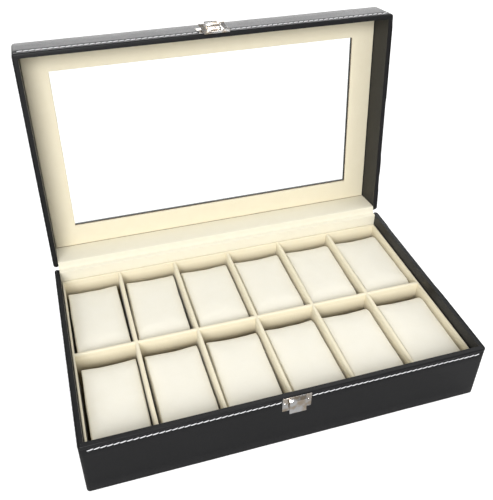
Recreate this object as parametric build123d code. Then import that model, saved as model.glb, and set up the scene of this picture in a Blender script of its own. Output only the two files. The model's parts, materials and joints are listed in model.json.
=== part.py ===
from build123d import *
import os

# Watch box: a leather-covered wooden case with a hinged, glazed lid, a removable-pillow
# tray of twelve compartments, and a toggle latch at the front.
# Millimetres. The origin is the centre of the underside, X runs along the box, Y to the
# hinge at the back, and Z up. The lid is stored standing open on its stop.

# --- driving dimensions ---
BOX_LENGTH = 300.0  # X, over the leather
BOX_DEPTH = 182.0  # Y, over the leather
BASE_HEIGHT = 50.0
LID_HEIGHT = 30.0
LID_GAP = 0.3  # between the two rims when shut
OPEN_ANGLE = 96.75  # lid, from shut to standing open

LEATHER = 0.6  # covering leather
WALL = 4.0  # wall board with leather on both faces
BOARD = WALL - 2 * LEATHER
FELT = 0.5  # sheet under the base
FELT_INSET = 1.0
BOTTOM_BOARD = 3.0
CORNER_RADIUS = 2.5  # upright corners, outside
RIM_RADIUS = 1.2  # outer edge of the base's rim
LID_EDGE_RADIUS = 1.5  # outer edge of the lid's top
TURN_IN = 12.0  # leather folded under the base

LINING = 0.6  # cream cloth over the hinge side
BACK_STEP = 0.8  # the base's back wall stops short to make room for the lining
SPINE = 0.8  # leather hinge strip outside
SPINE_REACH = 24.0  # strip glued to each half
SPINE_INSET = 4.0  # strip's ends, in from the box's ends
HINGE_OUT = 1.2  # hinge line behind the back face
HINGE_UP = 0.8  # hinge line above the base's rim

TRAY_TOP = 40.0
TRAY_PANEL = 1.5
TRAY_CLEARANCE = 0.4  # each side, tray to box wall
DIVIDER = 3.0
COLUMNS = 6
COLUMN_PITCH = 48.5

PILLOW_WIDTH = 42.5
PILLOW_LENGTH = 78.5
PILLOW_TOP = 35.0
PILLOW_END_RADIUS = 12.0
PILLOW_SEAM_RADIUS = 1.5
PILLOW_LIFT = 0.3  # stand-in for the nap that the pillow rests on

WINDOW_LENGTH = 253.0
WINDOW_DEPTH = 136.4
TOP_THICKNESS = 2.5  # lid's top, board and leather
PANEL = 1.5  # cream frame inside the lid
PANEL_CLEARANCE = 0.2
GLASS = 2.0
GLASS_BEARING = 8.0  # glass held under the frame on every side
GLASS_CLEARANCE = 0.3

PLATE = 0.4  # catch plate
CATCH_HALF = 10.8
CATCH_LOW = 36.0
CATCH_HIGH = 49.3
TONGUE_HALF = 6.3
TONGUE_SHEET = 0.6
TONGUE_OUT = 2.5  # middle of the tongue's sheet, from the leather
TONGUE_BEND = 46.9  # height where it turns down
TONGUE_RADIUS = 0.6
LIP_OUT = 3.1
LIP_LOW = 35.7
LIP_HEIGHT = 1.7
CATCH_NAIL_X = 8.8
CATCH_NAIL_Z = 43.4

MOUNT_PLATE = 0.5  # latch plate on the lid
MOUNT_HALF = 12.3
MOUNT_LOW = 0.8  # above the lid's rim
MOUNT_HIGH = 16.0
MOUNT_NAIL_X = 3.4
MOUNT_NAILS_UP = (2.6, 13.5)
EAR_INNER = 5.15
EAR = 0.7
EAR_FOOT = 2.6  # half the ear's height where it leaves the plate
EAR_ROUND = 1.1

LEVER_OUT = 4.0  # lever's pivot in front of the lid's leather
LEVER_UP = 6.4  # and above the lid's rim
LEVER_HALF = 5.0
LEVER_SHEET = 0.7
LEVER_BARREL = 0.95
LEVER_FLARE = 6.1  # half the handle's width at its tip
LEVER_CORNER = 1.5
LEVER_WAIST = 1.2  # the handle starts to flare this far above the ring's pivot
LEVER_BEND = 2.0
TIP_OUT = 4.8
TIP_UP = 16.4
PIN_RADIUS = 0.5
PIN_HEAD = 0.35  # the pin's head, both its height and how far it is wider
PIN_CLEARANCE = 0.05

RING_OUT = 3.9  # ring's pivot in the lever, in front of the lid's leather
RING_UP = 12.7
RING_HALF = 10.3
RING_WINDOW_HALF = 6.7
RING_REACH = 17.6  # pivot to the middle of the hooking bar
RING_BAR = 2.0
RING_SHEET = 0.7
RING_ROD = 0.5  # radius of the bar that turns in the lever
RING_CORNER = 1.2
RING_TILT = 8.6  # ring leans in to the catch

NAIL_BALL = 1.3  # the head is a cap of a ball of this radius
NAIL_DOME = 0.55  # and this high
NAIL_SHANK = 0.45
NAIL_DEPTH = 3.0

# --- worked out from the driving dimensions ---
HALF_X = BOX_LENGTH / 2
HALF_Y = BOX_DEPTH / 2
INNER_X = HALF_X - WALL
INNER_Y = HALF_Y - WALL
BOARD_X = HALF_X - LEATHER
BOARD_Y = HALF_Y - LEATHER
LID_RIM = BASE_HEIGHT + LID_GAP
LID_TOP = LID_RIM + LID_HEIGHT
FLOOR = FELT + LEATHER + BOTTOM_BOARD
CELL_FLOOR = FLOOR + LINING
BACK_RIM = BASE_HEIGHT - BACK_STEP
LID_BACK_RIM = LID_RIM + LINING
TRAY_X = INNER_X - TRAY_CLEARANCE
TRAY_Y = INNER_Y - TRAY_CLEARANCE - LINING
LAP = (CELL_FLOOR + TRAY_TOP) / 2
FRAME_LOW = LID_TOP - TOP_THICKNESS
GLASS_LOW = FRAME_LOW - GLASS
PANEL_LOW = GLASS_LOW - PANEL
FRONT = -HALF_Y
LEVER_Y = FRONT - LEVER_OUT
LEVER_Z = LID_RIM + LEVER_UP
RING_Y = FRONT - RING_OUT
RING_Z = LID_RIM + RING_UP

HINGE_AXIS = Axis((0, HALF_Y + HINGE_OUT, BASE_HEIGHT + HINGE_UP), (1, 0, 0))
RING_AXIS = Axis((0, RING_Y, RING_Z), (1, 0, 0))


def save(node, shape):
    export_step(shape, f"parts/{node}.step")


def block(low, high):
    """A box from its lowest corner to its highest."""
    size = [b - a for a, b in zip(low, high)]
    centre = [(a + b) / 2 for a, b in zip(low, high)]
    return Pos(*centre) * Box(*size)


def opened(shape):
    """A lid part, drawn shut, turned to where it stands open."""
    return shape.rotate(HINGE_AXIS, -OPEN_ANGLE)


def save_lid(node, shape):
    save(node, opened(shape))


def cylinder_along_x(x_low, x_high, y, z, radius):
    disc = Plane.YZ.offset(x_low) * Pos(y, z) * Circle(radius)
    return extrude(disc, x_high - x_low)


def cylinder_along_y(x, y_low, y_high, z, radius):
    disc = Plane.XZ.offset(-y_high) * Pos(x, z) * Circle(radius)
    return extrude(disc, y_high - y_low)


def upright_edges(shape, x_reach, y_reach):
    """The four upright edges at the corners of a rectangle."""
    return [
        edge
        for edge in shape.edges().filter_by(Axis.Z)
        if abs(abs(edge.center().X) - x_reach) < 0.01
        and abs(abs(edge.center().Y) - y_reach) < 0.01
    ]


def edges_at(shape, height):
    """Every edge that lies in the level plane at that height."""
    return [
        edge
        for edge in shape.edges()
        if abs(edge.bounding_box().min.Z - height) < 0.01
        and abs(edge.bounding_box().max.Z - height) < 0.01
    ]


def rounded_block(low_z, high_z):
    """The outside of the case between two heights, with rounded upright corners."""
    shape = block((-HALF_X, -HALF_Y, low_z), (HALF_X, HALF_Y, high_z))
    return fillet(upright_edges(shape, HALF_X, HALF_Y), CORNER_RADIUS)


def wall_board(low_z, high_z, side):
    """The front (side -1) or back (side 1) wall board, which carries the corners."""
    y_low, y_high = sorted((side * BOARD_Y, side * (BOARD_Y - BOARD)))
    shape = block((-BOARD_X, y_low, low_z), (BOARD_X, y_high, high_z))
    return fillet(upright_edges(shape, BOARD_X, BOARD_Y), CORNER_RADIUS - LEATHER)


def end_board(low_z, high_z, side):
    """The left (side -1) or right (side 1) wall board, butted between the other two."""
    x_low, x_high = sorted((side * BOARD_X, side * (BOARD_X - BOARD)))
    reach = BOARD_Y - BOARD
    return block((x_low, -reach, low_z), (x_high, reach, high_z))


def nail_holes(places):
    """The holes that nails at those (x, z) places make in the front wall."""
    return [cylinder_along_y(x, FRONT, FRONT + NAIL_DEPTH, z, NAIL_SHANK) for x, z in places]


def nail(x, z, sheet):
    """A domed nail whose head sits on a plate of that thickness."""
    face = FRONT - sheet
    ball = Pos(x, face + NAIL_BALL - NAIL_DOME, z) * Sphere(NAIL_BALL)
    keep = block((x - 2, face - NAIL_DOME, z - 2), (x + 2, face, z + 2))
    dome = ball & keep
    shank = cylinder_along_y(x, face, FRONT + NAIL_DEPTH, z, NAIL_SHANK)
    return dome + shank


# --- base ---
def catch_nail_places():
    return [(x, CATCH_NAIL_Z) for x in (-CATCH_NAIL_X, CATCH_NAIL_X)]


def base_boards():
    front = wall_board(FELT + LEATHER, BASE_HEIGHT - LEATHER, -1)
    for hole in nail_holes(catch_nail_places()):
        front -= hole
    return {
        "base_front_board": front,
        "base_back_board": wall_board(FELT + LEATHER, BACK_RIM, 1),
        "base_left_board": end_board(FELT + LEATHER, BASE_HEIGHT - LEATHER, -1),
        "base_right_board": end_board(FELT + LEATHER, BASE_HEIGHT - LEATHER, 1),
    }


def base_bottom_board():
    reach_x = BOARD_X - BOARD
    reach_y = BOARD_Y - BOARD
    return block((-reach_x, -reach_y, FELT + LEATHER), (reach_x, reach_y, FLOOR))


def base_cover(boards, bottom_board):
    """Black leather: outside, over the rim, down inside, and turned in under the base."""
    cover = rounded_block(FELT, BASE_HEIGHT)
    cover = fillet(edges_at(cover, BASE_HEIGHT), RIM_RADIUS)
    back_face = BOARD_Y - BOARD
    cover -= block((-INNER_X, -INNER_Y, FLOOR), (INNER_X, back_face, BASE_HEIGHT + 1))
    cover -= block(
        (-HALF_X + TURN_IN, -HALF_Y + TURN_IN, 0),
        (HALF_X - TURN_IN, HALF_Y - TURN_IN, FELT + LEATHER),
    )
    cover -= block((-INNER_X, back_face, BACK_RIM), (INNER_X, HALF_Y, BASE_HEIGHT + 1))
    for board in boards.values():
        cover -= board
    cover -= bottom_board
    for hole in nail_holes(catch_nail_places()):
        cover -= hole
    return cover


def underside_felt():
    reach_x = HALF_X - FELT_INSET
    reach_y = HALF_Y - FELT_INSET
    sheet = block((-reach_x, -reach_y, 0), (reach_x, reach_y, FELT))
    return fillet(upright_edges(sheet, reach_x, reach_y), CORNER_RADIUS)


def lining_leaf(wall_low, wall_high, rim_low):
    """Cream cloth up the inner face of a hinge-side wall and out over its rim."""
    back_face = BOARD_Y - BOARD
    upright = block((-INNER_X, INNER_Y, wall_low), (INNER_X, back_face, wall_high))
    over_rim = block(
        (-INNER_X, back_face, rim_low), (INNER_X, HALF_Y, rim_low + LINING)
    )
    return upright + over_rim


def spine_leaf(low_z, high_z):
    reach = HALF_X - SPINE_INSET
    return block((-reach, HALF_Y, low_z), (reach, HALF_Y + SPINE, high_z))


# --- tray ---
def tray_panels():
    inner_y = TRAY_Y - TRAY_PANEL
    panels = {}
    for name, side in (("front", -1), ("back", 1)):
        y_low, y_high = sorted((side * TRAY_Y, side * inner_y))
        inner_x = TRAY_X - TRAY_PANEL
        panels[f"tray_{name}_panel"] = block(
            (-inner_x, y_low, CELL_FLOOR), (inner_x, y_high, TRAY_TOP)
        )
    for name, side in (("left", -1), ("right", 1)):
        x_low, x_high = sorted((side * TRAY_X, side * (TRAY_X - TRAY_PANEL)))
        panels[f"tray_{name}_panel"] = block(
            (x_low, -TRAY_Y, CELL_FLOOR), (x_high, TRAY_Y, TRAY_TOP)
        )
    return panels


def divider_places():
    return [(n - COLUMNS / 2) * COLUMN_PITCH for n in range(1, COLUMNS)]


def long_divider():
    """Runs the tray's length, slotted from above where each short divider crosses."""
    reach = TRAY_X - TRAY_PANEL
    half = DIVIDER / 2
    shape = block((-reach, -half, CELL_FLOOR), (reach, half, TRAY_TOP))
    for x in divider_places():
        shape -= block((x - half, -half, LAP), (x + half, half, TRAY_TOP))
    return shape


def short_divider(x):
    """Runs front to back, slotted from below where it crosses the long divider."""
    reach = TRAY_Y - TRAY_PANEL
    half = DIVIDER / 2
    shape = block((x - half, -reach, CELL_FLOOR), (x + half, reach, TRAY_TOP))
    return shape - block((x - half, -half, CELL_FLOOR), (x + half, half, LAP))


def floor_lining():
    reach_x = INNER_X - TRAY_CLEARANCE
    reach_y = INNER_Y - TRAY_CLEARANCE - LINING
    return block((-reach_x, -reach_y, FLOOR), (reach_x, reach_y, CELL_FLOOR))


def pillow_centre(column, row):
    """Column 1 is at the left; row is -1 at the front and 1 at the back."""
    edge = TRAY_X - TRAY_PANEL
    walls = [-edge] + divider_places() + [edge]
    low = walls[column - 1] + (DIVIDER / 2 if column > 1 else 0)
    high = walls[column] - (DIVIDER / 2 if column < COLUMNS else 0)
    return (low + high) / 2, row * (TRAY_Y - TRAY_PANEL + DIVIDER / 2) / 2


def pillow(column, row):
    """An oval roller: flat side panels, rounded over at its front and back ends."""
    x, y = pillow_centre(column, row)
    bottom = CELL_FLOOR + PILLOW_LIFT
    height = PILLOW_TOP - bottom
    section = RectangleRounded(PILLOW_LENGTH, height, PILLOW_END_RADIUS)
    face = Plane.YZ.offset(x) * Pos(y, bottom + height / 2) * section
    roll = extrude(face, PILLOW_WIDTH / 2, both=True)
    seams = [
        edge
        for edge in roll.edges()
        if abs(abs(edge.center().X - x) - PILLOW_WIDTH / 2) < 0.01
    ]
    return fillet(seams, PILLOW_SEAM_RADIUS)


# --- catch on the base ---
def catch_tongue():
    """Sheet bent out from the plate's top edge and down, with its lower lip curled out."""
    path = FilletPolyline(
        (FRONT - PLATE / 2, CATCH_HIGH - TONGUE_SHEET / 2),
        (FRONT - TONGUE_OUT, TONGUE_BEND),
        (FRONT - TONGUE_OUT, LIP_LOW + LIP_HEIGHT),
        (FRONT - LIP_OUT, LIP_LOW),
        radius=TONGUE_RADIUS,
    )
    return extrude(Plane.YZ * trace(path, TONGUE_SHEET), TONGUE_HALF, both=True)


def catch_plate():
    """One pressing: a plate nailed to the front, and the tongue that the ring hooks on."""
    plate = block(
        (-CATCH_HALF, FRONT - PLATE, CATCH_LOW), (CATCH_HALF, FRONT, CATCH_HIGH)
    )
    for x, z in catch_nail_places():
        plate -= cylinder_along_y(x, FRONT - PLATE, FRONT, z, NAIL_SHANK)
    return plate + catch_tongue()


def catch_nails():
    return Compound(children=[nail(x, z, PLATE) for x, z in catch_nail_places()])


# --- lid, drawn shut ---
def mount_nail_places():
    return [
        (x, LID_RIM + up) for up in MOUNT_NAILS_UP for x in (-MOUNT_NAIL_X, MOUNT_NAIL_X)
    ]


def lid_boards():
    front = wall_board(LID_RIM + LEATHER, LID_TOP - LEATHER, -1)
    for hole in nail_holes(mount_nail_places()):
        front -= hole
    return {
        "lid_front_board": front,
        "lid_back_board": wall_board(LID_BACK_RIM, LID_TOP - LEATHER, 1),
        "lid_left_board": end_board(LID_RIM + LEATHER, LID_TOP - LEATHER, -1),
        "lid_right_board": end_board(LID_RIM + LEATHER, LID_TOP - LEATHER, 1),
    }


def windowed(half_x, half_y, low_z, high_z, window_x, window_y):
    """A flat frame with a rectangular window."""
    plate = block((-half_x, -half_y, low_z), (half_x, half_y, high_z))
    return plate - block((-window_x, -window_y, low_z), (window_x, window_y, high_z))


def lid_top_board():
    return windowed(
        BOARD_X - BOARD,
        BOARD_Y - BOARD,
        FRAME_LOW,
        LID_TOP - LEATHER,
        WINDOW_LENGTH / 2 + LEATHER,
        WINDOW_DEPTH / 2 + LEATHER,
    )


def glass_pane():
    half_x = WINDOW_LENGTH / 2 + GLASS_BEARING
    half_y = WINDOW_DEPTH / 2 + GLASS_BEARING
    return block((-half_x, -half_y, GLASS_LOW), (half_x, half_y, FRAME_LOW))


def glass_spacer():
    """Card of the glass's thickness that fills the lid round the pane."""
    return windowed(
        INNER_X,
        INNER_Y,
        GLASS_LOW,
        FRAME_LOW,
        WINDOW_LENGTH / 2 + GLASS_BEARING + GLASS_CLEARANCE,
        WINDOW_DEPTH / 2 + GLASS_BEARING + GLASS_CLEARANCE,
    )


def lid_inner_frame():
    """The cream frame that shows inside the lid and holds the glass in."""
    return windowed(
        INNER_X - PANEL_CLEARANCE,
        INNER_Y - PANEL_CLEARANCE,
        PANEL_LOW,
        GLASS_LOW,
        WINDOW_LENGTH / 2,
        WINDOW_DEPTH / 2,
    )


def lid_cover(boards, top_board):
    """Black leather: rim, outside, top, and turned in round the window."""
    cover = rounded_block(LID_RIM, LID_TOP)
    cover = fillet(edges_at(cover, LID_TOP), LID_EDGE_RADIUS)
    cover = fillet(edges_at(cover, LID_RIM), RIM_RADIUS)
    back_face = BOARD_Y - BOARD
    cover -= block(
        (-INNER_X, -INNER_Y, LID_RIM - 1), (INNER_X, back_face, FRAME_LOW)
    )
    cover -= block(
        (-WINDOW_LENGTH / 2, -WINDOW_DEPTH / 2, FRAME_LOW),
        (WINDOW_LENGTH / 2, WINDOW_DEPTH / 2, LID_TOP + 1),
    )
    cover -= block((-INNER_X, back_face, LID_RIM - 1), (INNER_X, HALF_Y, LID_BACK_RIM))
    for board in boards.values():
        cover -= board
    cover -= top_board
    for hole in nail_holes(mount_nail_places()):
        cover -= hole
    return cover


# --- toggle latch on the lid, drawn shut ---
def ear(side):
    """A lug bent up from the latch plate, at one side of the lever, to hold its pin."""
    face = FRONT - MOUNT_PLATE
    outline = Polyline(
        (face, LEVER_Z - EAR_FOOT),
        (LEVER_Y, LEVER_Z - EAR_ROUND),
        (LEVER_Y, LEVER_Z + EAR_ROUND),
        (face, LEVER_Z + EAR_FOOT),
        close=True,
    )
    tab = make_face(outline) + Pos(LEVER_Y, LEVER_Z) * Circle(EAR_ROUND)
    tab -= Pos(LEVER_Y, LEVER_Z) * Circle(PIN_RADIUS)
    x_low = EAR_INNER if side > 0 else -EAR_INNER - EAR
    return extrude(Plane.YZ.offset(x_low) * tab, EAR)


def clasp_plate():
    """Plate nailed to the lid's front, with an ear at each side of the lever."""
    low = LID_RIM + MOUNT_LOW
    high = LID_RIM + MOUNT_HIGH
    plate = block((-MOUNT_HALF, FRONT - MOUNT_PLATE, low), (MOUNT_HALF, FRONT, high))
    for x, z in mount_nail_places():
        plate -= cylinder_along_y(x, FRONT - MOUNT_PLATE, FRONT, z, NAIL_SHANK)
    return plate + ear(-1) + ear(1)


def clasp_nails():
    return Compound(
        children=[opened(nail(x, z, MOUNT_PLATE)) for x, z in mount_nail_places()]
    )


def clasp_pin():
    """Runs through both ears and the lever's barrel, riveted over at each end."""
    outer = EAR_INNER + EAR
    pin = cylinder_along_x(-outer, outer, LEVER_Y, LEVER_Z, PIN_RADIUS)
    for low, high in ((-outer - PIN_HEAD, -outer), (outer, outer + PIN_HEAD)):
        pin += cylinder_along_x(low, high, LEVER_Y, LEVER_Z, PIN_RADIUS + PIN_HEAD)
    return pin


def handle_outline():
    """The lever seen from the front: parallel sides, flared to a rounded tip."""
    low = LEVER_Z - LEVER_BARREL
    tip = LID_RIM + TIP_UP
    right = [(LEVER_HALF, low), (LEVER_HALF, RING_Z + LEVER_WAIST), (LEVER_FLARE, tip)]
    left = [(-x, z) for x, z in reversed(right)]
    face = make_face(Polyline(*right, *left, close=True))
    return fillet(face.vertices().sort_by(Axis.Y)[-2:], LEVER_CORNER)


def clasp_lever():
    """A strip with a barrel for the pin, a sleeve for the ring's rod, and a handle."""
    path = FilletPolyline(
        (LEVER_Y, LEVER_Z),
        (RING_Y, RING_Z),
        (FRONT - TIP_OUT, LID_RIM + TIP_UP),
        radius=LEVER_BEND,
    )
    lever = extrude(Plane.YZ * trace(path, LEVER_SHEET), LEVER_FLARE, both=True)
    trim = Plane.XZ.offset(-FRONT) * handle_outline()
    lever &= extrude(trim, 2 * TIP_OUT)
    for y, z in ((LEVER_Y, LEVER_Z), (RING_Y, RING_Z)):
        lever += cylinder_along_x(-LEVER_HALF, LEVER_HALF, y, z, LEVER_BARREL)
    for y, z in ((LEVER_Y, LEVER_Z), (RING_Y, RING_Z)):
        hole = PIN_RADIUS + PIN_CLEARANCE
        lever -= cylinder_along_x(-LEVER_HALF, LEVER_HALF, y, z, hole)
    return lever


def clasp_ring():
    """A sheet frame whose rod turns in the lever, and whose far bar hooks on the catch."""
    bar = RING_Z - RING_REACH
    half_sheet = RING_SHEET / 2
    ring = block(
        (-RING_HALF, RING_Y - half_sheet, bar - RING_BAR / 2),
        (RING_HALF, RING_Y + half_sheet, RING_Z),
    )
    corners = ring.edges().filter_by(Axis.Y).sort_by(Axis.Z)[:2]
    ring = fillet(corners, RING_CORNER)
    ring -= block(
        (-RING_WINDOW_HALF, RING_Y - half_sheet, bar + RING_BAR / 2),
        (RING_WINDOW_HALF, RING_Y + half_sheet, RING_Z),
    )
    ring += cylinder_along_x(-RING_HALF, RING_HALF, RING_Y, RING_Z, RING_ROD)
    return ring.rotate(RING_AXIS, RING_TILT)


def build_base():
    boards = base_boards()
    bottom_board = base_bottom_board()
    for node, board in boards.items():
        save(node, board)
    save("base_bottom_board", bottom_board)
    save("base_cover", base_cover(boards, bottom_board))
    save("underside_felt", underside_felt())
    save("floor_lining", floor_lining())
    save("base_lining", lining_leaf(FLOOR, BACK_RIM + LINING, BACK_RIM))
    save("base_spine", spine_leaf(BASE_HEIGHT - SPINE_REACH, BASE_HEIGHT))


def build_tray():
    for node, panel in tray_panels().items():
        save(node, panel)
    save("long_divider", long_divider())
    for number, x in enumerate(divider_places(), 1):
        save(f"short_divider_{number}", short_divider(x))
    for column in range(1, COLUMNS + 1):
        save(f"pillow_front_{column}", pillow(column, -1))
        save(f"pillow_back_{column}", pillow(column, 1))


def build_catch():
    save("catch_plate", catch_plate())
    save("catch_nails", catch_nails())


def build_lid():
    boards = lid_boards()
    top_board = lid_top_board()
    for node, board in boards.items():
        save_lid(node, board)
    save_lid("lid_top_board", top_board)
    save_lid("lid_cover", lid_cover(boards, top_board))
    save_lid("glass_pane", glass_pane())
    save_lid("glass_spacer", glass_spacer())
    save_lid("lid_inner_frame", lid_inner_frame())
    save_lid("lid_lining", lining_leaf(LID_RIM, PANEL_LOW, LID_RIM))
    save_lid("lid_spine", spine_leaf(LID_RIM + LID_GAP, LID_RIM + SPINE_REACH))
    save_lid("clasp_plate", clasp_plate())
    save("clasp_nails", clasp_nails())
    save_lid("clasp_pin", clasp_pin())
    save_lid("clasp_lever", clasp_lever())
    save_lid("clasp_ring", clasp_ring())


os.makedirs("parts", exist_ok=True)
build_base()
build_tray()
build_catch()
build_lid()
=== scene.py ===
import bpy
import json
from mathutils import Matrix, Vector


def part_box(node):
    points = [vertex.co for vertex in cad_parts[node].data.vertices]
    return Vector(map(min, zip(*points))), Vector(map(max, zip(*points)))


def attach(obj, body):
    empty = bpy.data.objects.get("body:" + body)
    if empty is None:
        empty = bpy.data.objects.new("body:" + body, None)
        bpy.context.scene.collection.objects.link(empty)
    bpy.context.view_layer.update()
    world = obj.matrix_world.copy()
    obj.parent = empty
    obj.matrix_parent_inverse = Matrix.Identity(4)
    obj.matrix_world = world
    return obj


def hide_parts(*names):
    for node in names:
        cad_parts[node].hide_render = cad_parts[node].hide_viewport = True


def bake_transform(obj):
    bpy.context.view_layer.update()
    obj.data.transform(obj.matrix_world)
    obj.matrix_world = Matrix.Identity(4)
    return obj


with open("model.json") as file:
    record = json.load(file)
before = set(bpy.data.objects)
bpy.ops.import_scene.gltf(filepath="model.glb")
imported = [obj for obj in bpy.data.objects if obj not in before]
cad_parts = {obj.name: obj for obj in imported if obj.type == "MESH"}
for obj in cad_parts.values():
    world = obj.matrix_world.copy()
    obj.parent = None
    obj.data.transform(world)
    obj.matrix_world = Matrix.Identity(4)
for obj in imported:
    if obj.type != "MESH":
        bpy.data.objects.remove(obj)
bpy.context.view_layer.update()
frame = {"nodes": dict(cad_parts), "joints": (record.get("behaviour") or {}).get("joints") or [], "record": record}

import json
import math

import bmesh
import bpy
from mathutils import Matrix, Vector, noise

# A leather watch box: glazed lid standing open, cream suede tray with twelve pillows,
# white stitching and a plated toggle latch. Metres, in the frame's own axes.

MM = 0.001

# --- what the frame says ---
BASE_LOW, BASE_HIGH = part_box("base_cover")
FLOOR_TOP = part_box("base_bottom_board")[1].z
CELL_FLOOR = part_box("floor_lining")[1].z
hinge = next(joint for joint in frame["joints"] if joint["name"] == "lid_hinge")
HINGE_LINE = Vector(hinge["pos_m"])
SWING = math.radians(-min(hinge["range_deg"]))
OPEN = (
    Matrix.Translation(HINGE_LINE)
    @ Matrix.Rotation(-SWING, 4, "X")
    @ Matrix.Translation(-HINGE_LINE)
)
SHUT = OPEN.inverted()


def shut_box(node):
    """A lid node's lowest and highest corner with the lid shut."""
    points = [SHUT @ vertex.co for vertex in frame["nodes"][node].data.vertices]
    low = Vector([min(point[axis] for point in points) for axis in range(3)])
    high = Vector([max(point[axis] for point in points) for axis in range(3)])
    return low, high


LID_LOW, LID_HIGH = shut_box("lid_cover")
PANEL_LOW, PANEL_HIGH = shut_box("lid_inner_frame")
GLASS_LOW, GLASS_HIGH = shut_box("glass_pane")
LID_FRAME_LOW = shut_box("lid_top_board")[0].z
SPINE_LOW, SPINE_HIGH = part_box("base_spine")
LID_SPINE_LOW, LID_SPINE_HIGH = shut_box("lid_spine")
LINING_LOW, LINING_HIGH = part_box("base_lining")
LID_LINING_LOW, LID_LINING_HIGH = shut_box("lid_lining")

# --- sizes of what is made here ---
LEATHER = 0.6 * MM
WALL = 4.0 * MM
TURN_IN = 12.0 * MM
CORNER = 2.5 * MM
RIM_ROLL = 1.6 * MM
LID_EDGE = 1.5 * MM
GLASS_BEARING = 8.0 * MM
WINDOW_X = GLASS_HIGH.x - GLASS_BEARING
WINDOW_Y = GLASS_HIGH.y - GLASS_BEARING
SEW_LINE = 4.1 * MM  # stitching, below the rim
GROOVE = 3.0 * MM  # pressed line between the rolled rim and the stitching
GROOVE_DEPTH = 0.32 * MM
STITCH_LONG = 4.5 * MM
STITCH_PITCH = 4.3 * MM
STITCH_THICK = 0.38 * MM
STITCH_SLANT = math.radians(12)
GROOVE_WIDE = 1.0 * MM
GRID = 10 * MM  # spacing of the cuts that let a skin ripple
PANEL_GRID = 12 * MM  # the same in the tray's walls and the lid's cream panel
FOOT_EDGE = 0.7 * MM
WINDOW_EDGE = 0.5 * MM
RIPPLE_SIZE = 24 * MM
RIPPLE_DEPTH = 0.22 * MM
LATCH_CLEAR = 0.6 * MM  # from the latch's plate to the first stitch
LINING_FOLD = 0.7 * MM
STRIP_FOLD = 0.4 * MM
STRIP_GRID = 6 * MM
EDGE_OF_PANEL = 0.6 * MM
EDGE_OF_DIVIDER = 1.2 * MM
TOUCH = 0.02 * MM  # places nearer than this are the same place


# --- the modelling bench ---
def clear_selection():
    if bpy.context.object and bpy.context.object.mode != "OBJECT":
        bpy.ops.object.mode_set(mode="OBJECT")
    bpy.ops.object.select_all(action="DESELECT")


def take(obj):
    """Makes obj the only selected object, and the active one."""
    clear_selection()
    obj.select_set(True)
    bpy.context.view_layer.objects.active = obj
    return obj


def settle(obj):
    """Puts the object's place into its mesh."""
    take(obj)
    bpy.ops.object.transform_apply(location=True, rotation=True, scale=True)
    return obj


def named(name):
    obj = bpy.context.object
    obj.name = obj.data.name = name
    return obj


def block(name, low, high):
    clear_selection()
    low, high = Vector(low), Vector(high)
    bpy.ops.mesh.primitive_cube_add(size=1, location=(low + high) / 2, scale=high - low)
    return settle(named(name))


def middle(element):
    if isinstance(element, bmesh.types.BMVert):
        return element.co
    points = [vertex.co for vertex in element.verts]
    return sum(points, Vector()) / len(points)


def open_mesh(obj):
    take(obj)
    bpy.ops.object.mode_set(mode="EDIT")


def close_mesh():
    bpy.ops.object.mode_set(mode="OBJECT")


def pick(kind, test):
    """In edit mode, selects the vertices, edges or faces that pass the test."""
    bpy.ops.mesh.select_mode(type=kind)
    bpy.ops.mesh.select_all(action="DESELECT")
    data = bpy.context.object.data
    mesh = bmesh.from_edit_mesh(data)
    elements = {"VERT": mesh.verts, "EDGE": mesh.edges, "FACE": mesh.faces}[kind]
    for element in elements:
        if test(element):
            element.select_set(True)
    mesh.select_flush_mode()
    bmesh.update_edit_mesh(data)


def near(value, target, reach=TOUCH):
    return abs(value - target) < reach


def cut(axis, places):
    """In edit mode, cuts every face where it crosses planes square to the axis."""
    normal = Vector([float(axis == n) for n in range(3)])
    for place in places:
        bpy.ops.mesh.select_all(action="SELECT")
        bpy.ops.mesh.bisect(plane_co=normal * place, plane_no=normal)


def grid_places(half, pitch=GRID):
    count = int(half / pitch)
    return [n * pitch for n in range(-count, count + 1) if abs(abs(n * pitch) - half) > 2 * MM]


def push(offset):
    bpy.ops.mesh.extrude_region_move(TRANSFORM_OT_translate={"value": offset})


def draw_edge(offset):
    bpy.ops.mesh.extrude_edges_move(TRANSFORM_OT_translate={"value": offset})


def round_edges(test, radius, segments):
    pick("EDGE", test)
    bpy.ops.mesh.bevel(offset=radius, segments=segments, profile=0.5, affect="EDGES")


def apply_modifier(obj, kind, **settings):
    take(obj)
    modifier = obj.modifiers.new(kind.title(), kind)
    for key, value in settings.items():
        setattr(modifier, key, value)
    bpy.ops.object.modifier_apply(modifier=modifier.name)


def ripple(obj, size, depth):
    """Gentle unevenness, as skin or cloth has when it is glued down."""
    clouds = bpy.data.textures.new(obj.name + "_ripple", "CLOUDS")
    clouds.noise_scale = size
    clouds.noise_depth = 1
    apply_modifier(
        obj, "DISPLACE", texture=clouds, strength=depth, mid_level=0.5, texture_coords="GLOBAL"
    )


def smooth(obj, angle=35):
    take(obj)
    bpy.ops.object.shade_smooth_by_angle(angle=math.radians(angle))
    return obj


def face_out(obj):
    open_mesh(obj)
    bpy.ops.mesh.select_all(action="SELECT")
    bpy.ops.mesh.normals_make_consistent(inside=False)
    close_mesh()


def stand_open(obj):
    """Turns a lid piece, made with the lid shut, to where it stands open."""
    obj.matrix_world = OPEN @ obj.matrix_world
    return settle(obj)


def join(name, pieces):
    clear_selection()
    for piece in pieces:
        piece.select_set(True)
    bpy.context.view_layer.objects.active = pieces[0]
    bpy.ops.object.join()
    return named(name)


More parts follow.
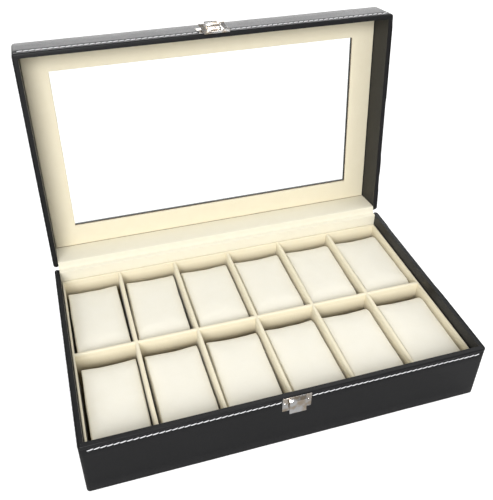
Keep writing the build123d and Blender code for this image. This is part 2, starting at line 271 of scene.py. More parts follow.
# --- shader bench ---
class Level:
    """A number that varies over a surface. The usual signs add Math nodes to it."""

    def __init__(self, finish, socket):
        self.finish = finish
        self.socket = socket

    def sum(self, operation, *values):
        node = self.finish.node("ShaderNodeMath", {"operation": operation}, *values)
        return Level(self.finish, node.outputs[0])

    def __add__(self, other):
        return self.sum("ADD", self, other)

    def __radd__(self, other):
        return self.sum("ADD", other, self)

    def __sub__(self, other):
        return self.sum("SUBTRACT", self, other)

    def __rsub__(self, other):
        return self.sum("SUBTRACT", other, self)

    def __mul__(self, other):
        return self.sum("MULTIPLY", self, other)

    def __truediv__(self, other):
        return self.sum("DIVIDE", self, other)

    def __pow__(self, other):
        return self.sum("POWER", self, other)

    def clipped(self):
        return self.sum("MAXIMUM", self.sum("MINIMUM", self, 1.0), 0.0)


class Finish:
    """One material: its Principled shader, and the patterns that feed it."""

    def __init__(self, name, **fixed):
        self.material = bpy.data.materials.new(name)
        self.material.use_nodes = True
        self.nodes = self.material.node_tree.nodes
        self.shader = self.nodes["Principled BSDF"]
        for socket, value in fixed.items():
            self.shader.inputs[socket.replace("_", " ")].default_value = value
        self.place = self.node("ShaderNodeTexCoord").outputs["Object"]

    def node(self, kind, settings=None, *values, **links):
        node = self.nodes.new(kind)
        for key, value in (settings or {}).items():
            if key == "stops":
                self.set_stops(node, value)
            else:
                setattr(node, key, value)
        for socket, value in [*enumerate(values), *links.items()]:
            self.feed(node.inputs[socket], value)
        return node

    def set_stops(self, node, stops):
        ramp = node.color_ramp
        while len(ramp.elements) < len(stops):
            ramp.elements.new(0.5)
        for element, (place, shade) in zip(ramp.elements, stops):
            element.position = place
            element.color = (*shade, 1)

    def feed(self, socket, value):
        if isinstance(value, Level):
            value = value.socket
        if isinstance(value, bpy.types.NodeSocket):
            self.material.node_tree.links.new(value, socket)
        else:
            socket.default_value = value

    def clouds(self, size, detail=3.0, roughness=0.5, place=None):
        """Soft noise from 0 to 1, with features about that size."""
        node = self.node(
            "ShaderNodeTexNoise",
            {},
            Vector=place or self.place,
            Scale=1 / size,
            Detail=detail,
            Roughness=roughness,
        )
        return Level(self, node.outputs[0])

    def cells(self, size, feature="DISTANCE_TO_EDGE", place=None):
        node = self.node(
            "ShaderNodeTexVoronoi", {"feature": feature}, Vector=place or self.place, Scale=1 / size
        )
        return Level(self, node.outputs["Distance"])

    def stretched(self, scale):
        node = self.node("ShaderNodeMapping", {}, Vector=self.place, Scale=scale)
        return node.outputs[0]

    def axis(self, name):
        node = self.node("ShaderNodeSeparateXYZ", {}, self.place)
        return Level(self, node.outputs[name])

    def ramp(self, level, stops):
        return self.node("ShaderNodeValToRGB", {"stops": stops}, Fac=level).outputs[0]

    def mix(self, share, first, second):
        node = self.node("ShaderNodeMix", {"data_type": "RGBA"})
        self.feed(node.inputs["Factor"], share)
        self.feed(node.inputs[6], first)
        self.feed(node.inputs[7], second)
        return node.outputs[2]

    def relief(self, height, depth, under=None):
        node = self.node("ShaderNodeBump", {}, Height=height, Distance=depth)
        if under is not None:
            self.feed(node.inputs["Normal"], under)
        return node.outputs[0]

    def paint(self, **levels):
        for socket, value in levels.items():
            self.feed(self.shader.inputs[socket.replace("_", " ")], value)
        return self.material


def grey(value):
    return (value, value, value, 1)


def make_leather():
    """Black leatherette: pebbled grain with fine pores, and a low uneven sheen."""
    finish = Finish("black_leather", Specular_IOR_Level=0.34)
    pebbles = finish.cells(1.0 * MM)
    raised = (pebbles * 3.5).clipped()
    pores = finish.clouds(0.35 * MM, detail=2)
    patches = finish.clouds(28 * MM, detail=2)
    tone = finish.mix(patches, (0.0035, 0.0035, 0.0043, 1), (0.007, 0.007, 0.008, 1))
    tone = finish.mix(raised * 0.5, tone, (0.010, 0.010, 0.0105, 1))
    grain = finish.relief(raised * 0.8 + pores * 0.2, 0.035 * MM)
    return finish.paint(
        Base_Color=tone, Roughness=0.42 - raised * 0.08 + patches * 0.08, Normal=grain
    )


def make_suede(name, pale, deep, nap, painted_shade_from, painted_shade_to, painted_shade_strength):
    """Cream suede cloth: short brushed nap, mottled where it lies different ways.
    Between two heights it goes over to a darker, browner tone: painted shade for the tray's depths."""
    finish = Finish(name, Sheen_Weight=0.25, Sheen_Roughness=0.4, Specular_IOR_Level=0.15)
    brushed = finish.clouds(9 * MM, detail=4, roughness=0.6)
    fibres = finish.clouds(nap, detail=3, roughness=0.7, place=finish.stretched((1, 0.45, 1)))
    tone = finish.mix(brushed, deep, pale)
    tone = finish.mix((fibres - 0.3).clipped() * 0.22, tone, (*[c * 0.82 for c in deep[:3]], 1))
    # Painted shade: below the first height the colour goes darker and browner, fully so at the second height. It
    # stands in for the shade deep in the tray's gaps and low on the pillows' sides.
    depth = ((painted_shade_from - finish.axis("Z")) / (painted_shade_from - painted_shade_to)).clipped()
    painted_shade_brown = (deep[0] * painted_shade_strength, deep[1] * painted_shade_strength * 0.82, deep[2] * painted_shade_strength * 0.5, 1)
    tone = finish.mix(depth**1.2, tone, painted_shade_brown)
    fuzz = finish.relief(fibres, 0.1 * MM)
    soft = finish.relief(brushed, 0.25 * MM, under=fuzz)
    return finish.paint(Base_Color=tone, Roughness=0.86 + fibres * 0.12, Normal=soft)


def make_chrome():
    finish = Finish("clasp_chrome", Metallic=1.0)
    smear = finish.clouds(3 * MM, detail=3)
    scratches = finish.clouds(0.25 * MM, detail=2, place=finish.stretched((1, 1, 0.12)))
    tarnish = ((finish.clouds(5 * MM, detail=2) - 0.42) * 5.0).clipped()
    tone = finish.mix(smear, (0.66, 0.65, 0.64, 1), (0.82, 0.82, 0.82, 1))
    tone = finish.mix(tarnish * 0.75, tone, (0.5, 0.38, 0.25, 1))
    return finish.paint(
        Base_Color=tone,
        Roughness=0.1 + smear * 0.1 + scratches * 0.06,
        Normal=finish.relief(scratches, 0.01 * MM),
    )


def make_glass():
    """Thin float glass: clear straight through, with a faint reflection and wipe marks."""
    finish = Finish("window_glass", Base_Color=grey(1.0), Specular_IOR_Level=0.9)
    wipes = finish.clouds(35 * MM, detail=4, place=finish.stretched((1, 0.3, 0.3)))
    finish.paint(Roughness=0.02 + wipes * 0.05)
    clear = finish.node("ShaderNodeBsdfTransparent", {}, Color=(0.985, 0.995, 0.99, 1))
    fresnel = Level(finish, finish.node("ShaderNodeFresnel", {}, IOR=1.45).outputs[0])
    blend = finish.node("ShaderNodeMixShader")
    finish.feed(blend.inputs[0], (fresnel * 0.5).clipped())
    finish.feed(blend.inputs[1], clear.outputs[0])
    finish.feed(blend.inputs[2], finish.shader.outputs[0])
    output = finish.nodes["Material Output"]
    finish.feed(output.inputs["Surface"], blend.outputs[0])
    return finish.material


def make_thread():
    finish = Finish("white_thread", Specular_IOR_Level=0.3, Sheen_Weight=0.3)
    fibres = finish.clouds(0.3 * MM, detail=2)
    tone = finish.mix(fibres, (0.78, 0.78, 0.80, 1), (0.93, 0.93, 0.95, 1))
    fuzz = finish.relief(fibres, 0.08 * MM)
    return finish.paint(Base_Color=tone, Roughness=0.7 + fibres * 0.2, Normal=fuzz)


def make_board():
    finish = Finish("wood_board")
    chips = finish.cells(1.6 * MM, feature="F1", place=finish.stretched((0.4, 0.4, 1)))
    dust = finish.clouds(0.5 * MM, detail=3)
    browns = [(0.2, (0.34, 0.23, 0.13)), (0.8, (0.6, 0.46, 0.3))]
    tone = finish.ramp(chips * 0.8 + dust * 0.3, browns)
    rough = finish.relief(dust, 0.1 * MM)
    return finish.paint(Base_Color=tone, Roughness=0.8 + dust * 0.15, Normal=rough)


def make_felt():
    finish = Finish("black_felt", Sheen_Weight=0.4, Specular_IOR_Level=0.1)
    flock = finish.clouds(0.4 * MM, detail=4, roughness=0.7)
    worn = finish.clouds(20 * MM, detail=2)
    wear = flock * 0.6 + worn * 0.4
    tone = finish.mix(wear, (0.008, 0.008, 0.009, 1), (0.035, 0.034, 0.034, 1))
    fuzz = finish.relief(flock, 0.3 * MM)
    return finish.paint(Base_Color=tone, Roughness=0.9 + flock * 0.08, Normal=fuzz)


def make_card():
    finish = Finish("grey_card")
    flecks = finish.clouds(0.8 * MM, detail=4)
    tone = finish.mix(flecks, (0.25, 0.25, 0.235, 1), (0.46, 0.46, 0.43, 1))
    rough = finish.relief(flecks, 0.05 * MM)
    return finish.paint(Base_Color=tone, Roughness=0.85 + flecks * 0.1, Normal=rough)


# The last three numbers of each suede: the height where its painted shade begins, the height where it is full, and
# how dark it gets.
FINISHES = {
    "black_leather": make_leather(),
    "cream_suede": make_suede(
        "cream_suede", (0.89, 0.862, 0.765, 1), (0.865, 0.83, 0.715, 1), 0.55 * MM,
        31 * MM, 19 * MM, 0.2,
    ),
    "cream_panel": make_suede(
        "cream_panel", (0.88, 0.815, 0.635, 1), (0.84, 0.765, 0.575, 1), 0.6 * MM,
        36 * MM, 20 * MM, 0.22,
    ),
    "cream_lining": make_suede(
        "cream_lining", (0.88, 0.84, 0.70, 1), (0.85, 0.80, 0.645, 1), 0.6 * MM,
        30 * MM, 15 * MM, 0.12,
    ),
    "clasp_chrome": make_chrome(),
    "window_glass": make_glass(),
    "white_thread": make_thread(),
    "wood_board": make_board(),
    "black_felt": make_felt(),
    "grey_card": make_card(),
}


def dress(obj, slot):
    obj.data.materials.clear()
    obj.data.materials.append(FINISHES[slot])
    return obj


for part in frame["record"]["subparts"]:
    dress(frame["nodes"][part["node"]], part["material_slot"])


# --- leather skins ---
def on_outside(element, low, high):
    """True for what lies on one of the four upright outer faces."""
    place = middle(element)
    return (
        near(place.x, low.x) or near(place.x, high.x) or near(place.y, low.y) or near(place.y, high.y)
    )


def outer_corner(edge, low, high):
    first, second = (vertex.co for vertex in edge.verts)
    upright = near(first.x, second.x) and near(first.y, second.y) and not near(first.z, second.z)
    return upright and near(abs(first.x), high.x) and near(abs(first.y), high.y)


def round_upright_corners(low, high):
    round_edges(lambda edge: outer_corner(edge, low, high), CORNER, 4)


def is_outline(edge, height):
    """True for the edges of the outer wall's outline at that height, rounded corners too."""
    if not all(near(vertex.co.z, height) for vertex in edge.verts):
        return False
    return all(
        abs(face.normal.z) > 0.5 or is_outer_normal(face) for face in edge.link_faces
    ) and any(is_outer_normal(face) for face in edge.link_faces)


def is_outer_normal(face):
    place = face.calc_center_median()
    outward = Vector((place.x / BASE_HIGH.x, place.y / BASE_HIGH.y, 0))
    steep = abs(face.normal.z) < 0.3
    reach = max(abs(place.x) / BASE_HIGH.x, abs(place.y) / BASE_HIGH.y)
    return steep and face.normal.dot(outward) > 0 and reach > 0.98


def press_groove(height):
    """Pushes in the outer wall's line at that height."""
    pick(
        "VERT",
        lambda vertex: near(vertex.co.z, height)
        and any(is_outer_normal(face) for face in vertex.link_faces),
    )
    bpy.ops.transform.shrink_fatten(value=-GROOVE_DEPTH)


def ease_back_rim(rim, step):
    """Opens the skin's back rim between the lining's ends, as far from the rim as the step."""
    reach = LINING_HIGH.x
    inner = BASE_HIGH.y - WALL

    def in_way(face):
        place = middle(face)
        if abs(place.x) > reach or place.y < inner - 0.1 * MM:
            return False
        if near(place.y, inner, 0.1 * MM):
            return True
        return abs(place.z - rim) < step - TOUCH

    pick("FACE", in_way)
    bpy.ops.mesh.delete(type="FACE")


def make_base_skin():
    low, high = BASE_LOW, BASE_HIGH
    skin = block("base_leather", low, high)
    open_mesh(skin)
    pick("FACE", lambda face: near(middle(face).z, high.z))
    bpy.ops.mesh.inset(thickness=WALL)
    push((0, 0, FLOOR_TOP - high.z))
    bpy.ops.mesh.delete(type="FACE")
    pick("FACE", lambda face: near(middle(face).z, low.z))
    bpy.ops.mesh.inset(thickness=TURN_IN)
    bpy.ops.mesh.delete(type="FACE")
    back_rim = LINING_HIGH.z - LEATHER
    cut(0, [-LINING_HIGH.x, LINING_HIGH.x, *grid_places(high.x)])
    cut(1, grid_places(high.y))
    groove = high.z - GROOVE
    cut(2, [10 * MM, 20 * MM, 30 * MM, 40 * MM, back_rim])
    cut(2, [groove - GROOVE_WIDE / 2, groove, groove + GROOVE_WIDE / 2])
    ease_back_rim(high.z, high.z - back_rim)
    round_upright_corners(low, high)
    round_edges(lambda edge: is_outline(edge, high.z), RIM_ROLL, 6)
    round_edges(lambda edge: is_outline(edge, low.z), FOOT_EDGE, 2)
    press_groove(groove)
    close_mesh()
    ripple(skin, RIPPLE_SIZE, RIPPLE_DEPTH)
    apply_modifier(skin, "SOLIDIFY", thickness=LEATHER, offset=-1)
    smooth(skin)
    return skin


def make_lid_skin():
    """Made with the lid shut, its rim down."""
    low, high = LID_LOW, LID_HIGH
    skin = block("lid_leather", low, high)
    open_mesh(skin)
    pick("FACE", lambda face: near(middle(face).z, low.z))
    bpy.ops.mesh.inset(thickness=WALL)
    push((0, 0, LID_FRAME_LOW - low.z))
    bpy.ops.mesh.delete(type="FACE")
    cut(0, [-WINDOW_X, WINDOW_X])
    cut(1, [-WINDOW_Y, WINDOW_Y])
    pick(
        "FACE",
        lambda face: near(middle(face).z, high.z)
        and abs(middle(face).x) < WINDOW_X
        and abs(middle(face).y) < WINDOW_Y,
    )
    bpy.ops.mesh.delete(type="FACE")
    pick(
        "EDGE",
        lambda edge: edge.is_boundary and near(middle(edge).z, high.z),
    )
    draw_edge((0, 0, LID_FRAME_LOW - high.z))
    back_rim = low.z + LEATHER
    cut(0, [-LINING_HIGH.x, LINING_HIGH.x, *grid_places(high.x)])
    cut(1, grid_places(high.y))
    groove = low.z + GROOVE
    cut(2, [60 * MM, 70 * MM, back_rim])
    cut(2, [groove - GROOVE_WIDE / 2, groove, groove + GROOVE_WIDE / 2])
    ease_back_rim(low.z, back_rim - low.z)
    round_upright_corners(low, high)
    round_edges(lambda edge: is_outline(edge, high.z), LID_EDGE, 4)
    round_edges(lambda edge: is_outline(edge, low.z), RIM_ROLL, 6)
    round_edges(
        lambda edge: all(near(vertex.co.z, high.z) for vertex in edge.verts)
        and any(abs(face.normal.z) < 0.3 for face in edge.link_faces),
        WINDOW_EDGE,
        2,
    )
    press_groove(groove)
    close_mesh()
    ripple(skin, RIPPLE_SIZE, RIPPLE_DEPTH)
    apply_modifier(skin, "SOLIDIFY", thickness=LEATHER, offset=-1)
    smooth(skin)
    return stand_open(skin)


# --- stitching ---
def make_stitch():
    """One stitch along X at the origin, its ends bedded down into the leather (to +Y)."""
    clear_selection()
    bpy.ops.mesh.primitive_cylinder_add(
        vertices=8, radius=STITCH_THICK, depth=STITCH_LONG, rotation=(0, math.pi / 2, 0)
    )
    stitch = settle(named("stitch"))
    open_mesh(stitch)
    cut(0, [-1.8 * MM, -0.6 * MM, 0.6 * MM, 1.8 * MM])
    for reach, sink, thin in ((2.1 * MM, 0.36 * MM, 0.6), (1.6 * MM, 0.08 * MM, 0.9)):
        for side in (-1, 1):
            pick("VERT", lambda vertex: side * vertex.co.x > reach)
            bpy.ops.transform.resize(value=(1, thin, thin))
            bpy.ops.transform.translate(value=(0, sink, 0))
    close_mesh()
    stitch.matrix_world = Matrix.Rotation(-STITCH_SLANT, 4, "Y")
    return settle(stitch)


def sew_row(stitch, start, turn, count):
    """A row of stitches from a place, running along X before it is turned about Z."""
    take(stitch)
    bpy.ops.object.duplicate()
    row = named("row")
    modifier = row.modifiers.new("Row", "ARRAY")
    modifier.count = count
    modifier.use_relative_offset = False
    modifier.use_constant_offset = True
    modifier.constant_offset_displace = (STITCH_PITCH, 0, 0)
    bpy.ops.object.modifier_apply(modifier=modifier.name)
    row.matrix_world = Matrix.Translation(start) @ Matrix.Rotation(turn, 4, "Z")
    return settle(row)


def sew_three_sides(name, stitch, low, high, z, gap):
    """Stitching along the front, with a gap round the latch, and along both ends."""
    proud = 0.12 * MM
    half_count = int((high.x - 2 * MM - gap) / STITCH_PITCH)
    first = gap + STITCH_PITCH / 2
    last = first + (half_count - 1) * STITCH_PITCH
    side_count = int((high.y - 2.5 * MM) * 2 / STITCH_PITCH)
    side_start = (side_count - 1) * STITCH_PITCH / 2
    rows = [
        sew_row(stitch, (-last, low.y - proud, z), 0, half_count),
        sew_row(stitch, (first, low.y - proud, z), 0, half_count),
        sew_row(stitch, (high.x + proud, -side_start, z), math.pi / 2, side_count),
        sew_row(stitch, (low.x - proud, side_start, z), -math.pi / 2, side_count),
    ]
    return dress(smooth(join(name, rows), 60), "white_thread")


# --- hinge side: cream lining and leather strip, each in one piece across the hinge ---
def strip(name, reach, path, radius):
    """A band across the box, drawn along a path of (y, z) points."""
    clear_selection()
    y0, z0 = path[0]
    bpy.ops.mesh.primitive_plane_add(size=1)
    band = named(name)
    open_mesh(band)
    pick("VERT", lambda vertex: vertex.co.y > 0)
    bpy.ops.mesh.delete(type="VERT")
    close_mesh()
    band.matrix_world = Matrix.Translation((0, y0, z0)) @ Matrix.Diagonal((2 * reach, 1, 1, 1))
    settle(band)
    open_mesh(band)
    bpy.ops.mesh.select_all(action="SELECT")
    low_y = min(vertex.co.y for vertex in bmesh.from_edit_mesh(band.data).verts)
    bpy.ops.transform.translate(value=(0, y0 - low_y, 0))
    for (y_from, z_from), (y_to, z_to) in zip(path, path[1:]):
        draw_edge((0, y_to - y_from, z_to - z_from))
    inner = path[1:-1]

    def is_fold(edge):
        place = middle(edge)
        level = near(edge.verts[0].co.z, edge.verts[1].co.z) and near(
            edge.verts[0].co.y, edge.verts[1].co.y
        )
        return level and any(near(place.y, y) and near(place.z, z) for y, z in inner)

    round_edges(is_fold, radius, 3)
    cut(0, grid_places(reach, STRIP_GRID))
    close_mesh()
    return band


def opened(y, z):
    place = OPEN @ Vector((0, y, z))
    return place.y, place.z


def make_hinge_lining():
    rim_y = BASE_HIGH.y
    path = [
        (LINING_LOW.y, LINING_LOW.z + LINING_FOLD),
        (LINING_LOW.y, LINING_HIGH.z),
        (rim_y, LINING_HIGH.z),
        opened(rim_y, LID_LINING_LOW.z),
        opened(LID_LINING_LOW.y, LID_LINING_LOW.z),
        opened(LID_LINING_LOW.y, PANEL_LOW.z),
    ]
    lining = strip("hinge_lining", LINING_HIGH.x, path, LINING_FOLD)
    apply_modifier(lining, "SOLIDIFY", thickness=LEATHER, offset=1)
    face_out(lining)
    smooth(lining, 40)
    dress(lining, "cream_lining")
    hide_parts("base_lining", "lid_lining")
    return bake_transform(lining)


def make_hinge_strip():
    out = SPINE_HIGH.y
    path = [
        (out, SPINE_LOW.z),
        (out, SPINE_HIGH.z),
        opened(out, LID_SPINE_LOW.z),
        opened(out, LID_SPINE_HIGH.z),
    ]
    thickness = SPINE_HIGH.y - SPINE_LOW.y
    band = strip("hinge_strip", SPINE_HIGH.x, path, STRIP_FOLD)
    apply_modifier(band, "SOLIDIFY", thickness=thickness, offset=1)
    face_out(band)
    smooth(band, 40)
    dress(band, "black_leather")
    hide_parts("base_spine", "lid_spine")
    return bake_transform(band)


# --- tray ---
def make_wall(node, radius):
    """A cloth-covered card wall of the tray, rounded along its top."""
    low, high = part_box(node)
    wall = block(node.replace("_panel", "_wall").replace("divider", "partition"), low, high)
    along = 0 if high.x - low.x > high.y - low.y else 1
    reach = (low[along], high[along])
    open_mesh(wall)
    round_edges(
        lambda edge: all(near(vertex.co.z, high.z) for vertex in edge.verts)
        and abs(edge.verts[0].co[along] - edge.verts[1].co[along]) > 10 * MM,
        radius,
        3,
    )
    centre = sum(reach) / 2
    cut(along, [centre + place for place in grid_places(reach[1] - centre, PANEL_GRID)])
    cut(2, [15 * MM, 25 * MM, 34 * MM])
    close_mesh()
    ripple(wall, 20 * MM, 0.2 * MM)
    smooth(wall, 50)
    dress(wall, "cream_panel")
    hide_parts(node)
    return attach(wall, "base")


# --- lid lining panel ---
def make_lid_panel():
    low, high = PANEL_LOW, PANEL_HIGH
    panel = block("lid_cream_panel", low, high)
    open_mesh(panel)
    cut(0, [-WINDOW_X, WINDOW_X])
    cut(1, [-WINDOW_Y, WINDOW_Y])
    pick(
        "FACE",
        lambda face: abs(face.normal.z) > 0.9
        and abs(middle(face).x) < WINDOW_X
        and abs(middle(face).y) < WINDOW_Y,
    )
    bpy.ops.mesh.bridge_edge_loops()
    round_edges(
        lambda edge: all(near(vertex.co.z, low.z) for vertex in edge.verts)
        and any(abs(face.normal.z) < 0.3 for face in edge.link_faces),
        EDGE_OF_PANEL,
        3,
    )
    cut(0, grid_places(high.x, PANEL_GRID))
    cut(1, grid_places(high.y, PANEL_GRID))
    close_mesh()
    ripple(panel, 30 * MM, 0.25 * MM)
    smooth(panel, 50)
    dress(panel, "cream_panel")
    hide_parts("lid_inner_frame")
    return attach(stand_open(panel), "lid")


# --- pillows ---
PILLOW_SHRINK = Vector((1.3, 1.3, 1.0)) * MM  # each side, made up again when it is filled
PILLOW_END = 12 * MM
STUFFING = 4.0
FILL_FRAMES = 20
MOST_SWELL = 2.0 * MM
SEAM_IN = 1.2 * MM  # sewn line, in from the pillow's side
SEAM_DEPTH = 0.55 * MM
CLOTH_MESH = 2.0 * MM
CREASE_SIZE = 11 * MM
CREASE_DEPTH = 0.35 * MM
COLUMNS = 6
PUSHED_ASIDE = (0.8, 0.6, 0.4, 0.5, 0.4, 0.9, -0.1, 0.0, 0.4, 0.5, 0.4, 0.9)  # mm, front row first
FRONT_ROW_PUSH = -1.3  # mm, towards the front


def make_pillow_form(size):
    """The unfilled cover, centred on the origin."""
    half = size / 2 - PILLOW_SHRINK
    form = block("pillow_form", -half, half)
    open_mesh(form)
    round_edges(
        lambda edge: near(edge.verts[0].co.y, edge.verts[1].co.y)
        and near(edge.verts[0].co.z, edge.verts[1].co.z),
        PILLOW_END - PILLOW_SHRINK.y,
        6,
    )
    round_edges(
        lambda edge: all(near(abs(vertex.co.x), half.x) for vertex in edge.verts), 0.5 * MM, 2
    )
    close_mesh()
    return form


def weave_pillow(form):
    """Gives the cover an even mesh that can swell."""
    take(form)
    form.data.remesh_voxel_size = CLOTH_MESH
    bpy.ops.object.voxel_remesh()


def fill_pillow(form):
    """Fills the cover by cloth simulation, with no point moved further than the cap."""
    before = [vertex.co.copy() for vertex in form.data.vertices]
    cloth = form.modifiers.new("Cloth", "CLOTH")
    cloth.settings.use_pressure = True
    cloth.settings.uniform_pressure_force = STUFFING
    cloth.settings.effector_weights.gravity = 0
    cloth.settings.quality = 5
    cloth.settings.tension_stiffness = 25
    cloth.settings.compression_stiffness = 25
    cloth.settings.bending_stiffness = 2
    cloth.point_cache.frame_start = 1
    cloth.point_cache.frame_end = FILL_FRAMES
    for number in range(1, FILL_FRAMES + 1):
        bpy.context.scene.frame_set(number)
    take(form)
    bpy.ops.object.modifier_apply(modifier=cloth.name)
    for vertex, start in zip(form.data.vertices, before):
        moved = vertex.co - start
        if moved.length > MOST_SWELL:
            vertex.co = start + moved * (MOST_SWELL / moved.length)
    bpy.context.scene.frame_set(1)
    return form


def fit_pillow(form, size):
    """Brings the filled cover back to its own size."""
    highs = [max(abs(vertex.co[axis]) for vertex in form.data.vertices) for axis in range(3)]
    share = Vector([size[axis] / 2 / highs[axis] for axis in range(3)])
    form.matrix_world = Matrix.Diagonal((*share, 1))
    return settle(form)


def crown_pillow(form, size):
    """Ears at the corners, where the band is sewn round the flat side panels."""
    half = size / 2
    for vertex in form.data.vertices:
        x, y, z = vertex.co
        side = min(abs(x) / half.x, 1)
        end = min(abs(y) / half.y, 1)
        upper = max(0, z / half.z)
        pull = (1 - side**2) * end**6
        vertex.co.y -= math.copysign(1.3 * MM, y) * pull
        ear = (side * end) ** 10 * upper
        vertex.co.x += math.copysign(1.0 * MM, x) * ear
        vertex.co.y += math.copysign(1.0 * MM, y) * ear
        vertex.co.z -= 1.5 * MM * (1 - side**2) * end**4 * upper
        vertex.co.z -= 0.7 * MM * side**4 * (1 - end**4) * upper
    return form


def sew_pillow(form, size):
    """The sewn line round each side panel."""
    line = size.x / 2 - SEAM_IN
    open_mesh(form)
    for side in (-1, 1):
        cut(0, [side * (line - 0.6 * MM), side * line, side * (line + 0.5 * MM)])
        pick("VERT", lambda vertex: near(vertex.co.x, side * line, 0.03 * MM))
        bpy.ops.transform.shrink_fatten(value=-SEAM_DEPTH)
    close_mesh()
    return form


def make_pillow():
    low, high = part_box("pillow_front_1")
    size = high - low
    form = make_pillow_form(size)
    weave_pillow(form)
    fill_pillow(form)
    fit_pillow(form, size)
    apply_modifier(form, "SUBSURF", levels=1, render_levels=1)
    crown_pillow(form, size)
    sew_pillow(form, size)
    return form


def place_pillow(form, node, number):
    """A copy of the pillow in its place, with its own creases, pushed in a little unevenly."""
    take(form)
    bpy.ops.object.duplicate()
    pillow = named(node + "_cushion")
    low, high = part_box(node)
    shift = Vector((7.3 * number, 3.1 * number, 0))
    outward = [vertex.normal.copy() for vertex in pillow.data.vertices]
    for vertex, normal in zip(pillow.data.vertices, outward):
        place = vertex.co / CREASE_SIZE + shift
        crease = noise.noise(Vector((place.x, place.y * 0.6, place.z)))
        vertex.co += normal * crease * CREASE_DEPTH
    turn = math.radians(0.8) * math.sin(number * 2.4)
    forward = FRONT_ROW_PUSH if number < COLUMNS else 0
    aside = Vector((PUSHED_ASIDE[number], forward, 0)) * MM
    place = (low + high) / 2 + aside
    pillow.matrix_world = Matrix.Translation(place) @ Matrix.Rotation(turn, 4, "Z")
    settle(pillow)
    smooth(pillow, 60)
    dress(pillow, "cream_suede")
    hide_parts(node)
    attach(pillow, node)
    return pillow


# --- plated fittings ---
def polish(node, body, edge):
    """A copy of a fitting with its edges eased, as a pressed and plated part has."""
    source = frame["nodes"][node]
    take(source)
    bpy.ops.object.duplicate()
    fitting = named(node + "_plated")
    for key in [key for key in fitting.keys() if key.startswith("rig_")]:
        del fitting[key]
    world = fitting.matrix_world.copy()
    fitting.parent = None
    fitting.matrix_world = world
    settle(fitting)
    open_mesh(fitting)
    bpy.ops.mesh.select_all(action="SELECT")
    bpy.ops.mesh.remove_doubles(threshold=0.004 * MM)
    bpy.ops.mesh.dissolve_limited(angle_limit=math.radians(1))
    close_mesh()
    apply_modifier(
        fitting,
        "BEVEL",
        width=edge,
        segments=2,
        limit_method="ANGLE",
        angle_limit=math.radians(40),
        use_clamp_overlap=True,
        harden_normals=False,
    )
    smooth(fitting, 50)
    dress(fitting, "clasp_chrome")
    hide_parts(node)
    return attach(fitting, body)


# --- make everything ---
base_skin = make_base_skin()
dress(base_skin, "black_leather")
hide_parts("base_cover")
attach(base_skin, "base")

lid_skin = make_lid_skin()
dress(lid_skin, "black_leather")
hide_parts("lid_cover")
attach(lid_skin, "lid")

stitch = make_stitch()
base_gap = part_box("catch_plate")[1].x + LATCH_CLEAR
lid_gap = shut_box("clasp_plate")[1].x + LATCH_CLEAR
base_sewing = sew_three_sides(
    "base_stitching", stitch, BASE_LOW, BASE_HIGH, BASE_HIGH.z - SEW_LINE, base_gap
)
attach(base_sewing, "base")
lid_sewing = sew_three_sides(
    "lid_stitching", stitch, LID_LOW, LID_HIGH, LID_LOW.z + SEW_LINE, lid_gap
)
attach(stand_open(lid_sewing), "lid")
bpy.data.objects.remove(stitch)

make_hinge_lining()
make_hinge_strip()

for side in ("front", "back", "left", "right"):
    make_wall(f"tray_{side}_panel", EDGE_OF_PANEL)
make_wall("long_divider", EDGE_OF_DIVIDER)
for number in range(1, COLUMNS):
    make_wall(f"short_divider_{number}", EDGE_OF_DIVIDER)
make_lid_panel()

pillow_form = make_pillow()
pillow_nodes = [f"pillow_{row}_{column}" for row in ("front", "back") for column in range(1, COLUMNS + 1)]
for number, node in enumerate(pillow_nodes):
    place_pillow(pillow_form, node, number)
bpy.data.objects.remove(pillow_form)

for node, body, edge in (
    ("catch_plate", "base", 0.1 * MM),
    ("clasp_plate", "lid", 0.12 * MM),
    ("clasp_lever", "clasp_lever", 0.1 * MM),
    ("clasp_ring", "clasp_ring", 0.15 * MM),
):
    polish(node, body, edge)


# --- studio ---
POWER_OVERHEAD = 9
POWER_FRONT = 33
POWER_BACK = 27
POWER_RIGHT = 5
POWER_SKY = 0.28
FLOOR_GLOW = 0.75
FLOOR_SIZE = 12
CAMERA_PLACE = Vector((-128.19, -365.89, 421.15)) * MM
CAMERA_AHEAD = Vector((0.23577, 0.76455, -0.59990))
CAMERA_ROLL = math.radians(0.436)
CAMERA_LENS = 48.297
CAMERA_FILM = 36
CAMERA_SHIFT = (0.0156, -0.0488)


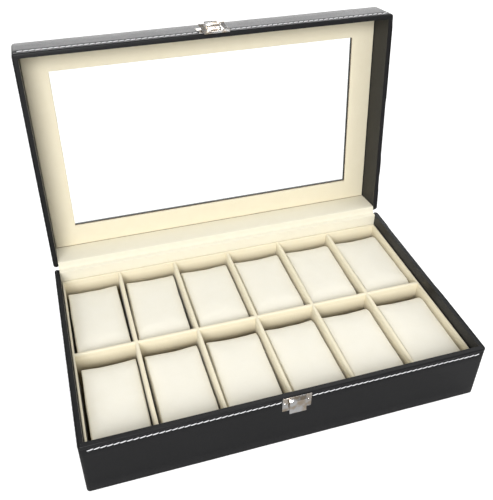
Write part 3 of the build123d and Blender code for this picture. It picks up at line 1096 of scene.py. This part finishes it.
def make_floor():
    clear_selection()
    bpy.ops.mesh.primitive_plane_add(size=FLOOR_SIZE, location=(0, 0, 0))
    floor = named("floor")
    finish = Finish(
        "floor_paint", Roughness=0.9, Specular_IOR_Level=0.1, Emission_Strength=FLOOR_GLOW
    )
    seen = Level(finish, finish.node("ShaderNodeLightPath").outputs["Is Camera Ray"])
    glow = finish.mix(seen, grey(0), grey(1))
    floor.data.materials.append(finish.paint(Base_Color=grey(0.5), Emission_Color=glow))
    return floor


def make_camera():
    ahead = CAMERA_AHEAD.normalized()
    right = ahead.cross(Vector((0, 0, 1))).normalized()
    up = right.cross(ahead)
    level = Matrix((right, up, -ahead)).transposed()
    turn = (level @ Matrix.Rotation(CAMERA_ROLL, 3, "Z")).to_4x4()
    data = bpy.data.cameras.new("camera")
    data.lens = CAMERA_LENS
    data.sensor_width = CAMERA_FILM
    data.shift_x, data.shift_y = CAMERA_SHIFT
    camera = bpy.data.objects.new("camera", data)
    camera.matrix_world = Matrix.Translation(CAMERA_PLACE) @ turn
    bpy.context.scene.collection.objects.link(camera)
    bpy.context.scene.camera = camera


def make_light(name, place, target, size, power):
    data = bpy.data.lights.new(name, "AREA")
    data.shape = "RECTANGLE"
    data.size, data.size_y = size
    data.energy = power
    light = bpy.data.objects.new(name, data)
    turn = (Vector(target) - Vector(place)).to_track_quat("-Z", "Y").to_matrix().to_4x4()
    light.matrix_world = Matrix.Translation(place) @ turn
    bpy.context.scene.collection.objects.link(light)


make_floor()
make_camera()
make_light("overhead_softbox", (0.5, 0.35, 1.5), (0, 0, 0), (1.4, 1.2), POWER_OVERHEAD)
make_light("front_softbox", (-0.6, -1.5, 1.1), (0, 0, 0.1), (1.2, 1.0), POWER_FRONT)
make_light("back_softbox", (0.5, 2.3, 0.45), (0, 0, 0.2), (3.0, 0.8), POWER_BACK)
make_light("right_softbox", (1.5, -0.4, 0.9), (0, 0, 0.1), (1.0, 1.0), POWER_RIGHT)
scene = bpy.context.scene
world = bpy.data.worlds.new("studio")
world.use_nodes = True
sky = world.node_tree.nodes["Background"]
sky.inputs["Color"].default_value = (1, 1, 1, 1)
sky.inputs["Strength"].default_value = POWER_SKY
scene.world = world
scene.view_settings.view_transform = "Standard"
